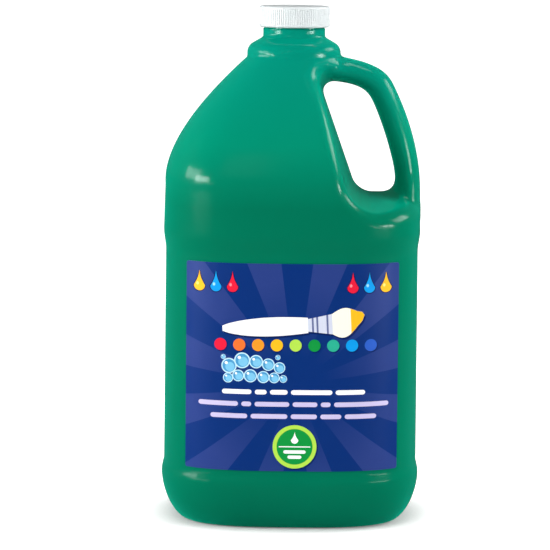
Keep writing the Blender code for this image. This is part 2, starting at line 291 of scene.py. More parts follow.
def handle_distance(x, y, z, wall):
    """Roughly the distance outside the handle's oval tube."""
    across = np.full(np.broadcast(x, z).shape, 1.0)
    thickest = HANDLE_LINE[:, 2].max()
    for (ax, az, a_half), (bx, bz, b_half) in zip(HANDLE_LINE[:-1], HANDLE_LINE[1:], strict=True):
        dx, dz = bx - ax, bz - az
        t = np.clip(((x - ax) * dx + (z - az) * dz) / (dx * dx + dz * dz), 0, 1)
        thinner = thickest - a_half - t * (b_half - a_half)
        across = np.minimum(across, np.hypot(x - ax - t * dx, z - az - t * dz) + thinner)
    flare_top, flare_bottom = HANDLE_FLARE_HEIGHTS
    depth = HANDLE_DEPTH + HANDLE_FLARE * ease((flare_top - z) / (flare_top - flare_bottom))
    return ellipse_distance(across, y, thickest - wall, depth - wall)


def bottle_distance(x, y, z, wall=0.0):
    """Roughly the distance outside the bottle, or outside the space within a wall of that thickness."""
    body = body_distance(x, y, z, wall)
    body = round_max(body, wall - pocket_distance(x, y, z), ridge_radius(x, z) - wall)
    neck = np.hypot(x, y) - (LOWER_NECK_RADIUS if wall == 0 else BORE_RADIUS)
    body = smooth_min(body, np.maximum(neck, COLLAR_BOTTOM - z), NECK_FILLET)
    outer = ease((x - FLUSH_ZONE_X[0]) / (FLUSH_ZONE_X[1] - FLUSH_ZONE_X[0]))
    low, high = HANDLE_BLEND_TOP_HEIGHTS
    upper = ease((z - low) / (high - low))
    blend = HANDLE_BLEND + upper * (HANDLE_BLEND_TOP - HANDLE_BLEND)
    blend = blend + outer * (HANDLE_BLEND_FLUSH - blend)
    return smooth_min(body, handle_distance(x, y, z, wall), blend)


# ---------------------------------------------------------------- meshes from distances


def slope(function, points):
    """The function's gradient at some points, from small steps either way."""
    step = 0.1 * MM
    columns = []
    for axis in range(3):
        shift = np.zeros(3)
        shift[axis] = step
        columns.append((function(*(points + shift).T) - function(*(points - shift).T)) / (2 * step))
    return np.stack(columns, axis=1)


def settle(function, points, rounds):
    """Moves points onto the function's zero surface."""
    for _ in range(rounds):
        gradient = slope(function, points)
        size = np.maximum((gradient**2).sum(1), 0.05)
        points = points - gradient * (function(*points.T) / size)[:, None]
    return points


def settle_level(function, points, chosen):
    """Moves the chosen points onto the surface without changing their heights."""
    for _ in range(5):
        gradient = slope(function, points[chosen])
        gradient[:, 2] = 0
        size = np.maximum((gradient**2).sum(1), 0.05)
        points[chosen] -= gradient * (function(*points[chosen].T) / size)[:, None]
    return points


def surface_net(function, axes):
    """A mesh of quads on the function's zero surface, and the points that border the grid's top."""
    sparse = np.meshgrid(*axes, indexing="ij", sparse=True)
    inside = np.broadcast_to(function(*sparse) < 0, [len(axis) for axis in axes])
    corners = np.zeros([len(axis) - 1 for axis in axes], int)
    for i in (0, 1):
        for j in (0, 1):
            for k in (0, 1):
                corners += inside[
                    i : inside.shape[0] - 1 + i, j : inside.shape[1] - 1 + j, k : inside.shape[2] - 1 + k
                ]
    active = (corners > 0) & (corners < 8)
    number = np.full(active.shape, -1)
    number[active] = np.arange(active.sum())
    centres = [(axis[1:] + axis[:-1]) / 2 for axis in axes]
    cells = np.nonzero(active)
    points = np.stack([centre[cell] for centre, cell in zip(centres, cells, strict=True)], axis=1)
    top = cells[2] == active.shape[2] - 1
    quads = []
    for axis in range(3):
        value, cell = np.moveaxis(inside, axis, 0), np.moveaxis(number, axis, 0)
        low, high = value[:-1, 1:-1, 1:-1], value[1:, 1:-1, 1:-1]
        i, j, k = np.nonzero(low != high)
        quad = np.stack([cell[i, j, k], cell[i, j + 1, k], cell[i, j + 1, k + 1], cell[i, j, k + 1]], axis=1)
        flip = ~low[i, j, k] if axis != 1 else low[i, j, k]
        quad[flip] = quad[flip][:, ::-1]
        quads.append(quad)
    return points, np.concatenate(quads), top


def relax(function, points, quads, top, rounds):
    """Evens out the quads without leaving the surface. The top border keeps its height."""
    edges = np.concatenate([quads[:, [i, (i + 1) % 4]] for i in range(4)])
    height = points[top, 2].copy()
    for _ in range(rounds):
        total = np.zeros_like(points)
        count = np.zeros(len(points))
        np.add.at(total, edges[:, 0], points[edges[:, 1]])
        np.add.at(total, edges[:, 1], points[edges[:, 0]])
        np.add.at(count, edges.ravel(), 1)
        points = points + 0.5 * (total / count[:, None] - points)
        points[top, 2] = height
        points = settle(function, points, 2)
        points[top, 2] = height
    return points


def grid_axes(step, top):
    low = BOTTLE_LOW - Vector((3 * MM,) * 3)
    high = BOTTLE_HIGH + Vector((3 * MM,) * 3)
    axes = [np.arange(low[i], high[i] + step, step) for i in range(2)]
    levels = math.ceil((top - low.z) / step)
    return [*axes, top - step * np.arange(levels, -1, -1)]


def skin(function, step, top):
    """The surface of a distance function up to a height, open at the top, as points and quads."""
    points, quads, border = surface_net(function, grid_axes(step, top))
    points = settle(function, points, 5)
    points[border, 2] = top
    points = settle_level(function, points, border)
    points = relax(function, points, quads, border, 4)
    level = np.zeros(len(points), bool)
    level[border] = True
    quads = quads[~level[quads].all(axis=1)]
    used, compact = np.unique(quads, return_inverse=True)
    return points[used], compact.reshape(quads.shape)


def border_ring(points, quads):
    """The points of a mesh's one open border, anticlockwise about the neck's axis."""
    edges = {(a, b) for quad in quads.tolist() for a, b in zip(quad, quad[1:] + quad[:1], strict=True)}
    after = {a: b for a, b in edges if (b, a) not in edges}
    ring = [min(after)]
    while after[ring[-1]] != ring[0]:
        ring.append(after[ring[-1]])
    angle = np.unwrap(np.arctan2(points[ring, 1], points[ring, 0]))
    return np.array(ring if angle[-1] > angle[0] else ring[::-1])


def stitch(points, lower, upper):
    """Triangles between two rings that both go round the neck's axis, the lower one first."""

    def angles(ring):
        return np.unwrap(np.arctan2(points[ring, 1], points[ring, 0]))

    apart = angles(upper) - angles(lower)[0]
    upper = np.roll(upper, -np.argmin(np.abs(np.angle(np.exp(1j * apart)))))
    low = np.append(lower, lower[0])
    high = np.append(upper, upper[0])
    low_angle = angles(low)
    high_angle = angles(high)
    high_angle += math.tau * round((low_angle[0] - high_angle[0]) / math.tau)
    i = j = 0
    faces = []
    while i < len(lower) or j < len(upper):
        if j == len(upper) or (i < len(lower) and low_angle[i + 1] <= high_angle[j + 1]):
            faces.append((low[i], low[i + 1], high[j]))
            i += 1
        else:
            faces.append((low[i], high[j + 1], high[j]))
            j += 1
    return [tuple(int(n) for n in face) for face in faces]


def band(low, high, count):
    """Quads between two rings of points, from the number of each ring's first point."""
    return [(low + i, low + (i + 1) % count, high + (i + 1) % count, high + i) for i in range(count)]


def wind(rows, first):
    """Quads between rings of points that follow each other, each as long as the one before it."""
    columns = len(rows[0])
    faces = []
    for low in range(first, first + (len(rows) - 1) * columns, columns):
        faces += band(low, low + columns, columns)
    return faces


def round_rows(profile, angle):
    """Rings about the axis, one for each (radius, height). A radius may vary with the angle."""
    rows = []
    for radius, height in profile:
        across = [radius * np.cos(angle), radius * np.sin(angle)]
        rows.append(np.stack([*across, np.full(angle.shape, height)], axis=1))
    return rows


def arc(start, end, bulge, steps):
    """Points (radius, height) from start to end on a quarter ellipse about the corner's inner point."""
    turn = np.linspace(0, math.pi / 2, steps + 1)[1:, None]
    centre = np.array((start[0], end[1]) if bulge == "up" else (end[0], start[1]))
    return list(centre + (start - centre) * np.cos(turn) + (end - centre) * np.sin(turn))


def thread_height(form, angle, z):
    """How far a thread stands proud at each point of a row."""
    turn = angle / math.tau % 1
    best = np.zeros_like(turn)
    for whole in range(-1, 3):
        along = turn + whole
        middle = form["start"] + PITCH * along
        end = form["first"] + form["turns"]
        fade = np.clip(np.minimum(along - form["first"], end - along) / THREAD_FADE, 0, 1)
        away = np.abs(z - middle) / (form["half_width"] * THREAD_REACH)
        flank = np.clip(THREAD_STEEPNESS * (1 - away), 0, 1)
        best = np.maximum(best, ease(flank) * np.sqrt(np.clip(fade, 0, 1)))
    return best * form["height"]


# ---------------------------------------------------------------- pieces


def add_object(name, data):
    made = bpy.data.objects.new(name, data)
    bpy.context.scene.collection.objects.link(made)
    return made


def add_piece(name, points, faces, materials, body, node, sharp):
    """A mesh piece that rides on a CAD body and stands for a CAD node. Edges sharper than that stay sharp."""
    mesh = bpy.data.meshes.new(name)
    mesh.from_pydata([tuple(p) for p in np.asarray(points).tolist()], [], faces)
    mesh.validate()
    for material in materials:
        mesh.materials.append(material)
    mesh.shade_smooth()
    mesh.set_sharp_from_angle(angle=math.radians(sharp))
    piece = add_object(name, mesh)
    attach(piece, body)
    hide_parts(node)
    return piece


def neck_rows(angle):
    """The neck from the outer seam up over the rim and down the bore to the inner seam."""
    low, high = SEAM_HEIGHT + SEAM_GAP, RIM_TOP - RIM_ROUND
    profile = [(LOWER_NECK_RADIUS, z) for z in np.linspace(low, NECK_STEP[0] - 0.1 * MM, 4)]
    profile += arc((LOWER_NECK_RADIUS, NECK_STEP[0]), (NECK_RADIUS, NECK_STEP[1]), "down", 3)
    for z in np.linspace(NECK_STEP[1] + 0.3 * MM, high, 28):
        profile.append((NECK_RADIUS + thread_height(NECK_THREAD, angle, z), z))
    profile += arc((NECK_RADIUS, high), (NECK_RADIUS - RIM_ROUND, RIM_TOP), "down", 4)
    profile.append((BORE_RADIUS + RIM_ROUND, RIM_TOP))
    profile += arc((BORE_RADIUS + RIM_ROUND, RIM_TOP), (BORE_RADIUS, high), "up", 4)
    profile += [(BORE_RADIUS, z) for z in np.linspace(high - 2 * MM, low, 4)]
    return round_rows(profile, angle)


def make_bottle(material):
    def inside(x, y, z):
        return bottle_distance(x, y, z, WALL)

    outer, outer_quads = skin(bottle_distance, OUTSIDE_STEP, SEAM_HEIGHT)
    inner, inner_quads = skin(inside, INSIDE_STEP, SEAM_HEIGHT)
    rows = neck_rows(np.arange(NECK_COLUMNS) * math.tau / NECK_COLUMNS)
    points = np.concatenate([outer, inner, *rows])
    neck_start = len(outer) + len(inner)
    faces = outer_quads.tolist() + (inner_quads[:, ::-1] + len(outer)).tolist() + wind(rows, neck_start)
    first_row = neck_start + np.arange(NECK_COLUMNS)
    last_row = first_row + (len(rows) - 1) * NECK_COLUMNS
    faces += stitch(points, border_ring(outer, outer_quads), first_row)
    inner_ring = border_ring(inner, inner_quads) + len(outer)
    faces += [face[::-1] for face in stitch(points, inner_ring, last_row)]
    return add_piece("bottle_shell", points, faces, [material], "bottle", "bottle", 50)


def make_paint(material):
    level = PAINT_HIGH.z

    def paint(x, y, z):
        body = bottle_distance(x, y, z, WALL + PAINT_GAP)
        return round_max(body, z - level, 0.5 * MM)

    axes = grid_axes(INSIDE_STEP, level + 2 * INSIDE_STEP)
    points, quads, border = surface_net(paint, axes)
    points = settle(paint, points, 6)
    points = relax(paint, points, quads, border, 2)
    return add_piece("paint_body", points, quads.tolist(), [material], "bottle", "paint", 40)


def cap_rows(angle):
    """The cap's wall from its inner lower edge, round the outside and over the top edge."""
    phase = np.abs(np.cos(angle * RIBS / 2))
    groove = 1 - ease(np.clip((phase - GROOVE_START) / GROOVE_FLANK, 0, 1))
    bottom_edge = (CAP_RADIUS - CAP_BOTTOM_ROUND, CAP_LOW.z)
    wall_bottom, wall_top = CAP_LOW.z + CAP_BOTTOM_ROUND, CAP_HIGH.z - CAP_TOP_ROUND
    profile = [(CAP_BORE + CAP_LIP, CAP_LOW.z), bottom_edge]
    profile += arc(bottom_edge, (CAP_RADIUS, wall_bottom), "up", 4)
    for share in np.linspace(0, 1, 17)[1:]:
        z = wall_bottom + share * (wall_top - wall_bottom)
        start = ease((z - CAP_LOW.z - RIB_FADE_BOTTOM) / RIB_FADE_BOTTOM)
        fade = start * ease((CAP_HIGH.z - RIB_FADE_TOP - z) / RIB_FADE_TOP)
        profile.append((CAP_RADIUS - RIB_DEPTH * groove * fade, z))
    profile += arc((CAP_RADIUS, wall_top), (CAP_TOP_RADIUS, CAP_HIGH.z), "down", 6)
    profile.append((CAP_TOP_RADIUS * 0.97, CAP_HIGH.z))
    profile += [(CAP_TOP_RADIUS * share, CAP_HIGH.z - CAP_DISH) for share in (0.93, 0.90, 0.5, 0.12)]
    return round_rows(profile, angle)


def cap_inside_rows(angle):
    """The cap's inside from the middle of its roof out and down its threaded wall."""
    roof = CAP_HIGH.z - CAP_PLATE
    profile = [(CAP_BORE * share, roof) for share in (0.12, 0.5, 0.9)]
    profile += arc((CAP_BORE - CAP_ROOF_ROUND, roof), (CAP_BORE, roof - CAP_ROOF_ROUND), "down", 4)
    for z in np.linspace(roof - 2 * CAP_ROOF_ROUND, CAP_LOW.z + 0.4 * MM, 30):
        profile.append((CAP_BORE - thread_height(CAP_THREAD, angle, z), z))
    return round_rows(profile, angle)


def make_cap(material):
    count = RIBS * RIB_SAMPLES
    angle = np.arange(count) * math.tau / count
    outside, inside = cap_rows(angle), cap_inside_rows(angle)
    points = np.concatenate([*outside, *inside])
    roof = len(outside) * count
    faces = wind(outside, 0) + wind(inside, roof)
    faces.append(tuple(range(roof - count, roof)))
    faces.append(tuple(reversed(range(roof, roof + count))))
    faces += band(len(points) - count, 0, count)
    return add_piece("cap_shell", points, faces, [material], "cap", "cap", 50)


# ---------------------------------------------------------------- labels

# LABEL_TRIM is in millimetres, as the label art is.
LABEL_FILM = 0.3 * MM
LABEL_LIFT = 0.06 * MM
LABEL_CORNER = 1.2 * MM
LABEL_GRID = 2.5 * MM
LABEL_TRIM = 0.9


def panel_points(x, z, lift, side):
    """Points a lift off the label panel, on the front (side -1) or the back (side 1)."""
    power = PANEL_EXPONENT
    width = panel_width(z)
    y = PANEL_DEPTH * (1 - np.abs(x / width) ** power) ** (1 / power)
    across = np.sign(x) * np.abs(x) ** (power - 1) / width**power
    normal = np.stack([across, y ** (power - 1) / PANEL_DEPTH**power])
    normal /= np.linalg.norm(normal, axis=0)
    return np.stack([x + lift * normal[0], side * (y + lift * normal[1]), z], axis=1)


def circle_outline(u, v, radius, count=40, stretch=1.0):
    turn = np.arange(count) * math.tau / count
    return np.stack([u + radius * stretch * np.cos(turn), v + radius * np.sin(turn)], axis=1)


def bar_outline(left, right, v, height, end_steps=6):
    """A bar with round ends."""
    radius = height / 2
    turn = np.linspace(-math.pi / 2, math.pi / 2, end_steps + 1)
    one = np.stack([right - radius + radius * np.cos(turn), v + radius * np.sin(turn)], axis=1)
    other = np.stack([left + radius - radius * np.cos(turn), v - radius * np.sin(turn)], axis=1)
    return np.concatenate([one, other])


def drop_outline(tip, head, radius, grow=0.0):
    """A drop of paint that widens from its tip to its round head."""
    tip, head = np.array(tip, float), np.array(head, float)
    along = (head - tip) / np.linalg.norm(head - tip)
    across = np.array([-along[1], along[0]])
    t = np.linspace(0, 1, 14)[:, None]
    spine = tip + (head - tip) * t
    half = (radius * (0.05 + 0.95 * t**1.9) + grow) * np.sqrt(np.clip(t * 8, 0.2, 1))
    turn = np.linspace(math.pi / 2, -math.pi / 2, 17)[1:-1] + math.atan2(along[1], along[0])
    end = head + (radius + grow) * np.stack([np.cos(turn), np.sin(turn)], axis=1)
    return np.concatenate([spine + across * half, end, (spine - across * half)[::-1]])


def ray_outline(centre, angle, spread, start, end):
    """A straight ray that widens as it leaves the centre."""
    reach = np.linspace(start, end, 9)[:, None]
    low, high = (reach * [np.cos(turn), np.sin(turn)] for turn in (angle - spread / 2, angle + spread / 2))
    return np.concatenate([low, high[::-1]]) + centre


# Places along the brush, in millimetres.
BRUSH_START = -39.0
FERRULE = (10.0, 24.0)
FERRULE_BANDS = (12.2, 14.8, 20.6)
BRISTLE_LENGTH = 18.5
DIPPED_SHARE = 0.52
BRUSH_INKS = {"handle": "white", "ferrule": "silver", "bristles": "cream", "dipped": "yellow"}


def brush_outlines():
    """A paintbrush lying on its side, before its tilt."""
    t = np.linspace(0, 1, 15)
    handle_half = 1.5 + 3.6 * np.sin(math.pi * t**0.75 * 0.78) + 0.6 * t
    start, end = FERRULE
    bristle_u = end + BRISTLE_LENGTH * t
    bristle_half = (5.9 + 2.9 * np.sin(math.pi * np.clip(t * 1.25, 0, 1))) * np.sqrt(1 - t**2.6)
    tip_rise = 4.2 * t**2.2

    def strip(u, half, rise=0.0):
        return np.concatenate([np.stack([u, rise + half], axis=1), np.stack([u, rise - half], axis=1)[::-1]])

    bands = [strip(np.array([a, a + 1.1]), np.array([3.6, 3.8]) + 0.165 * (a - start)) for a in FERRULE_BANDS]
    loaded = bristle_u > end + BRISTLE_LENGTH * DIPPED_SHARE
    return {
        "handle": strip(BRUSH_START + (start - BRUSH_START) * t, handle_half),
        "ferrule": strip(np.array(FERRULE), np.array([3.6, 5.9])),
        "bands": bands,
        "bristles": strip(bristle_u, bristle_half, tip_rise),
        "dipped": strip(bristle_u[loaded], bristle_half[loaded] - 0.05, tip_rise[loaded]),
    }


def turned(outline, degrees, shift):
    c, s = math.cos(math.radians(degrees)), math.sin(math.radians(degrees))
    return outline @ np.array([[c, s], [-s, c]]) + shift


WORD_SPACE = 1.9


def text_rows(rows, height):
    """Bars in place of lines of print. A row has its height, middle, width, ink and word lengths."""
    shapes = []
    for v, middle, width, ink, words in rows:
        unit = (width - WORD_SPACE * (len(words) - 1)) / sum(words)
        left = middle - width / 2
        for word in words:
            shapes.append((bar_outline(left, left + word * unit, v, height), ink))
            left += word * unit + WORD_SPACE
    return shapes


# Plain upright drops, each with its distance from a label's side edge in millimetres and its ink.
CORNER_DROPS = ((7.5, "yellow"), (17.0, "sky"), (26.5, "red"))
CORNER_DROP_TIP = 5.0
CORNER_DROP_HEAD = 13.5
CORNER_DROP_RADIUS = 3.2
CORNER_DROP_EDGE = 0.5
GLINT_SHIFT = (-1.1, 1.0)
GLINT_RADIUS = 0.95


def corner_drops(width, height, side):
    """A row of equal upright drops at the top corner on one side of a label, with outlines and glints."""
    shapes = []
    for inset, ink in CORNER_DROPS:
        u = side * (width / 2 - inset)
        tip, head = (u, height / 2 - CORNER_DROP_TIP), (u, height / 2 - CORNER_DROP_HEAD)
        shapes.append((drop_outline(tip, head, CORNER_DROP_RADIUS, CORNER_DROP_EDGE), "outline"))
        shapes.append((drop_outline(tip, head, CORNER_DROP_RADIUS), ink))
        glint = circle_outline(u + GLINT_SHIFT[0], head[1] + GLINT_SHIFT[1], GLINT_RADIUS, 16, 0.8)
        shapes.append((glint, ink + "_light"))
    return shapes


def bubbles(centre):
    """A cluster of soap bubbles."""
    places = (
        (-14.5, 2.0, 4.4),
        (-7.0, 5.2, 4.6),
        (1.0, 4.6, 3.9),
        (8.0, 3.0, 3.6),
        (14.4, 1.2, 3.3),
        (-15.0, -5.0, 2.9),
        (-9.2, -3.6, 3.4),
        (-2.2, -3.6, 3.8),
        (5.2, -4.2, 3.5),
        (11.4, -4.6, 3.1),
        (16.6, -5.2, 2.2),
        (-17.8, 7.0, 1.4),
        (13.4, 7.2, 1.5),
    )
    shapes = []
    for u, v, radius in places:
        u, v = u + centre[0], v + centre[1]
        shapes.append((circle_outline(u, v, radius, 28), "pale"))
        shapes.append((circle_outline(u, v, radius * 0.84, 28), "sky_deep"))
        shapes.append((circle_outline(u + radius * 0.12, v - radius * 0.14, radius * 0.6, 22), "sky_soft"))
        shapes.append((circle_outline(u - radius * 0.36, v + radius * 0.36, radius * 0.2, 12), "white"))
    return shapes


def badge(centre, radius):
    """A round badge with a ring, a rule, a drop and two bars."""
    u, v = centre
    return [
        (circle_outline(u + 0.5, v - 0.6, radius + 0.3, 64), "shadow"),
        (circle_outline(u, v, radius, 64), "lime"),
        (circle_outline(u, v, radius * 0.82, 64), "leaf"),
        (bar_outline(u - 9.1, u + 9.1, v, 0.55), "white"),
        (drop_outline((u, v + 8.4), (u, v + 3.9), 2.1), "white"),
        (bar_outline(u - 6.4, u + 6.4, v - 3.0, 1.9), "white"),
        (bar_outline(u - 4.0, u + 4.0, v - 6.0, 1.9), "white"),
    ]


RAY_CENTRE = (2.5, -9.2)
RAY_COUNT = 12
RAY_SPREAD = math.radians(15)
RAY_REACH = (14, 105)
RAY_FADE = (16 * MM, 60 * MM)
DABS = ("red", "orange", "amber", "yellow", "lime", "leaf", "teal", "sky", "blue")
DAB_LEFT = -41
DAB_SPAN = 86


def front_art(width, height):
    """The front label's shapes, lowest first, in millimetres from its centre."""
    shapes = []
    for i in range(RAY_COUNT):
        angle = math.tau * (i + 0.5) / RAY_COUNT
        shapes.append((ray_outline(RAY_CENTRE, angle, RAY_SPREAD, *RAY_REACH), "ray"))
    brush = brush_outlines()
    place = {"degrees": 3.0, "shift": np.array([-1.0, 24.2])}
    shadow_place = {"degrees": 3.0, "shift": np.array([-0.2, 23.0])}
    for part in ("handle", "ferrule", "bristles"):
        shapes.append((turned(brush[part], **shadow_place), "shadow"))
    for part, ink in BRUSH_INKS.items():
        shapes.append((turned(brush[part], **place), ink))
    shapes += [(turned(band, **place), "band") for band in brush["bands"]]
    for i, ink in enumerate(DABS):
        u = DAB_LEFT + i * DAB_SPAN / (len(DABS) - 1)
        shapes.append((circle_outline(u + 0.5, 12.4, 3.6, 28), "shadow"))
        shapes.append((circle_outline(u, 13.0, 3.5, 28), ink))
    shapes += corner_drops(width, height, -1)
    shapes += corner_drops(width, height, 1)
    shapes += bubbles((-21.5, -1.2))
    rows = (
        (-14.1, 1.1, 82.0, "white", (5, 2, 3, 7, 5)),
        (-21.1, 1.1, 109.0, "lavender", (8, 2, 7, 5, 2, 11)),
        (-28.1, 1.1, 95.0, "lavender", (7, 7, 5, 4, 6)),
    )
    shapes += text_rows(rows, 2.7)
    return shapes + badge((2.0, -45.6), 12.6)


def back_art(width, height):
    """The back label's shapes: a plain frame and bars in place of directions."""
    half_u, half_v = width / 2 - 5, height / 2 - 6
    frame_line = np.array([(-half_u, -half_v), (half_u, -half_v), (half_u, half_v), (-half_u, half_v)])
    shapes = [(frame_line, "lavender"), (frame_line * (1 - 0.6 / half_u), "navy")]
    rows = [(34.0, 0.0, 62.0, "white", (7, 9, 6))]
    lengths = ((6, 4, 8, 5, 7), (5, 9, 3, 6, 8), (8, 4, 6, 7, 4), (3, 8, 6, 5, 7), (7, 5, 4, 9, 3), (6, 6, 5))
    for i, words in enumerate(lengths):
        rows.append((24.0 - 6.2 * i, 0.0 if i < 5 else -13.0, 78.0 if i < 5 else 52.0, "lavender", words))
    shapes += text_rows(rows, 2.1)
    for i, ink in enumerate(("red", "yellow", "leaf", "sky")):
        shapes.append((drop_outline((-27 + i * 18, -18.5), (-27 + i * 18, -26.5), 4.0), ink))
    return shapes + text_rows([(-38.5, 0.0, 60.0, "lavender", (6, 5, 8, 4))], 2.1)


def clip(outline, low, high):
    """The part of an outline that lies within a box."""
    points = [np.array(p, float) for p in outline]
    for axis in (0, 1):
        for bound, sign in ((low[axis], 1), (high[axis], -1)):
            kept = []
            for i, point in enumerate(points):
                before = points[i - 1]
                step = point - before
                inside = sign * (point[axis] - bound) >= 0
                if inside != (sign * (before[axis] - bound) >= 0):
                    kept.append(before + step * (bound - before[axis]) / step[axis])
                if inside:
                    kept.append(point)
            points = kept
            if not points:
                return np.zeros((0, 2))
    return np.array(points)


def within(points, outline):
    """True for the points that lie inside an outline."""
    inside = np.zeros(len(points), bool)
    x, y = points.T
    for (ax, ay), (bx, by) in zip(outline, np.roll(outline, -1, axis=0), strict=True):
        if ay != by:
            inside ^= ((ay > y) != (by > y)) & (x < (bx - ax) * (y - ay) / (by - ay) + ax)
    return inside


def sheet_outline(half_u, half_v, radius):
    """A rectangle with round corners."""
    corners = []
    for quarter, signs in enumerate(((1, 1), (-1, 1), (-1, -1), (1, -1))):
        turn = np.radians(np.linspace(0, 90, 6) + 90 * quarter)
        centre = np.array(signs) * (half_u - radius, half_v - radius)
        corners.append(centre + radius * np.stack([np.cos(turn), np.sin(turn)], axis=1))
    return np.concatenate(corners)


def make_label(name, node, side, art, inks):
    """A printed film that follows the panel. Each shape of its art is cut into the mesh, with its own ink."""
    low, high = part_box(node)
    centre_x, centre_z = (low.x + high.x) / 2, (low.z + high.z) / 2
    width, height = (high.x - low.x) / MM - LABEL_TRIM, (high.z - low.z) / MM
    half = np.array([width, height]) / 2
    outline = sheet_outline(*half, LABEL_CORNER / MM)
    shapes = [(clip(points, -half, half), ink) for points, ink in art(width, height)]
    shapes = [(points, ink) for points, ink in shapes if len(points) > 2]
    vertices, edges = [], []

    def add_loop(points, closed=True):
        first = len(vertices)
        vertices.extend(Vector(p) for p in points)
        count = len(points)
        edges.extend((first + i, first + (i + 1) % count) for i in range(count if closed else count - 1))

    add_loop(outline)
    for points, _ in shapes:
        add_loop(points)
    for u in np.arange(-width / 2 + LABEL_GRID / MM, width / 2 - 0.5, LABEL_GRID / MM):
        add_loop([(u, -height / 2), (u, height / 2)], closed=False)
    cut = delaunay_2d_cdt(vertices, edges, [], 0, 1e-4)
    flat = np.array([tuple(v) for v in cut[0]])
    triangles = np.array([face for face in cut[2] if len(face) == 3])
    middles = flat[triangles].mean(axis=1)
    kept = within(middles, outline)
    triangles, middles = triangles[kept], middles[kept]
    ink_names = ["navy", *sorted({ink for _, ink in shapes} - {"navy"})]
    chosen = np.zeros(len(triangles), int)
    for points, ink in shapes:
        chosen[within(middles, points)] = ink_names.index(ink)
    used, compact = np.unique(triangles, return_inverse=True)
    flat, triangles = flat[used], compact.reshape(triangles.shape)
    first, second, third = (flat[triangles[:, i]] for i in range(3))
    turns = np.cross(second - first, third - first)
    triangles[turns < 0] = triangles[turns < 0][:, ::-1]
    x, z = centre_x - side * flat[:, 0] * MM, centre_z + flat[:, 1] * MM
    lifts = (LABEL_LIFT + LABEL_FILM, LABEL_LIFT)
    points = np.concatenate([panel_points(x, z, lift, side) for lift in lifts])
    count = len(flat)
    faces = [tuple(face) for face in triangles.tolist()]
    edges = [(a, b) for face in faces for a, b in zip(face, face[1:] + face[:1], strict=True)]
    known = set(edges)
    faces += [tuple(n + count for n in reversed(face)) for face in faces]
    faces += [(a, a + count, b + count, b) for a, b in edges if (b, a) not in known]
    materials = [inks[ink] for ink in ink_names]
    piece = add_piece(name, points, faces, materials, "bottle", node, 50)
    indices = np.zeros(len(piece.data.polygons), np.int32)
    indices[: len(chosen)] = chosen
    piece.data.polygons.foreach_set("material_index", indices)
    return piece


# ---------------------------------------------------------------- materials


def linear(red, green, blue):
    """A display colour, 0 to 255, as the linear colour that a shader takes."""
    return [(c / 255 / 12.92) if c <= 10 else ((c / 255 + 0.055) / 1.055) ** 2.4 for c in (red, green, blue)]


def feed(tree, value, target):
    """Links a socket to another one, or sets its value. A colour comes without its alpha."""
    if isinstance(value, bpy.types.NodeSocket):
        tree.links.new(value, target)
    else:
        target.default_value = (*value, 1.0) if target.type == "RGBA" else value


def map_range(tree, value, low, high, from_low, from_high):
    made = tree.nodes.new("ShaderNodeMapRange")
    numbers = {"Value": value, "From Min": from_low, "From Max": from_high, "To Min": low, "To Max": high}
    for socket, number in numbers.items():
        feed(tree, number, made.inputs[socket])
    return made


class Surface:
    """A material with one Principled shader, and short ways to add the nodes that vary it."""

    def __init__(self, name, **sockets):
        self.material = bpy.data.materials.new(name)
        self.material.use_nodes = True
        self.tree = self.material.node_tree
        self.shader = self.tree.nodes["Principled BSDF"]
        self.place = self.node("ShaderNodeTexCoord").outputs["Object"]
        for socket, value in sockets.items():
            self.set(socket.replace("_", " ").title().replace("Ior", "IOR"), value)

    def set(self, socket, value):
        feed(self.tree, value, self.shader.inputs[socket])

    def node(self, kind, **inputs):
        made = self.tree.nodes.new(kind)
        for socket, value in inputs.items():
            feed(self.tree, value, made.inputs[socket])
        return made

    def axes(self):
        """The X, Y and Z of the object coordinates."""
        return self.node("ShaderNodeSeparateXYZ", Vector=self.place).outputs

    def stretched(self, scale):
        """Object coordinates multiplied along each axis."""
        return self.node("ShaderNodeMapping", Vector=self.place, Scale=scale).outputs["Vector"]

    def noise(self, scale, detail=3.0, roughness=0.5, place=None):
        """Noise whose features are about 1 / scale metres."""
        size = {"Scale": scale, "Detail": detail, "Roughness": roughness}
        return self.node("ShaderNodeTexNoise", Vector=place or self.place, **size).outputs["Fac"]

    def ramp(self, value, low, high, from_low=0.0, from_high=1.0):
        return map_range(self.tree, value, low, high, from_low, from_high).outputs["Result"]

    def mix(self, share, first, second):
        """A colour between two colours, or between sockets that carry them."""
        made = self.node("ShaderNodeMix", Factor=share)
        made.data_type = "RGBA"
        for socket, colour in (("A", first), ("B", second)):
            feed(self.tree, colour, next(i for i in made.inputs if i.name == socket and i.type == "RGBA"))
        return next(o for o in made.outputs if o.type == "RGBA")

    def scaled(self, colour, factor):
        """A colour multiplied by a number."""
        made = self.node("ShaderNodeVectorMath")
        made.operation = "SCALE"
        feed(self.tree, colour, made.inputs[0])
        feed(self.tree, factor, made.inputs["Scale"])
        return made.outputs["Vector"]

    def bump(self, height, distance):
        made = self.node("ShaderNodeBump", Height=height, Distance=distance)
        self.set("Normal", made.outputs["Normal"])

    def math(self, operation, first, second=0.0):
        made = self.tree.nodes.new("ShaderNodeMath")
        made.operation = operation
        for socket, value in zip(made.inputs, (first, second), strict=False):
            feed(self.tree, value, socket)
        return made.outputs["Value"]


def shade(colour, factor):
    return [min(1.0, c * factor) for c in colour]


# The bottle's green from the base up, with painted shade low on the body and painted light on the shoulder
# and neck, and the heights between which each green gives way to the next.
GREENS_WITH_PAINTED_LIGHT = ((0, 106, 78), (0, 129, 100), (0, 132, 111))
PAINTED_LIGHT_HEIGHTS = (186 * MM, 222 * MM, 272 * MM)
PARTING_LINE = (0.12 * MM, 0.45 * MM)


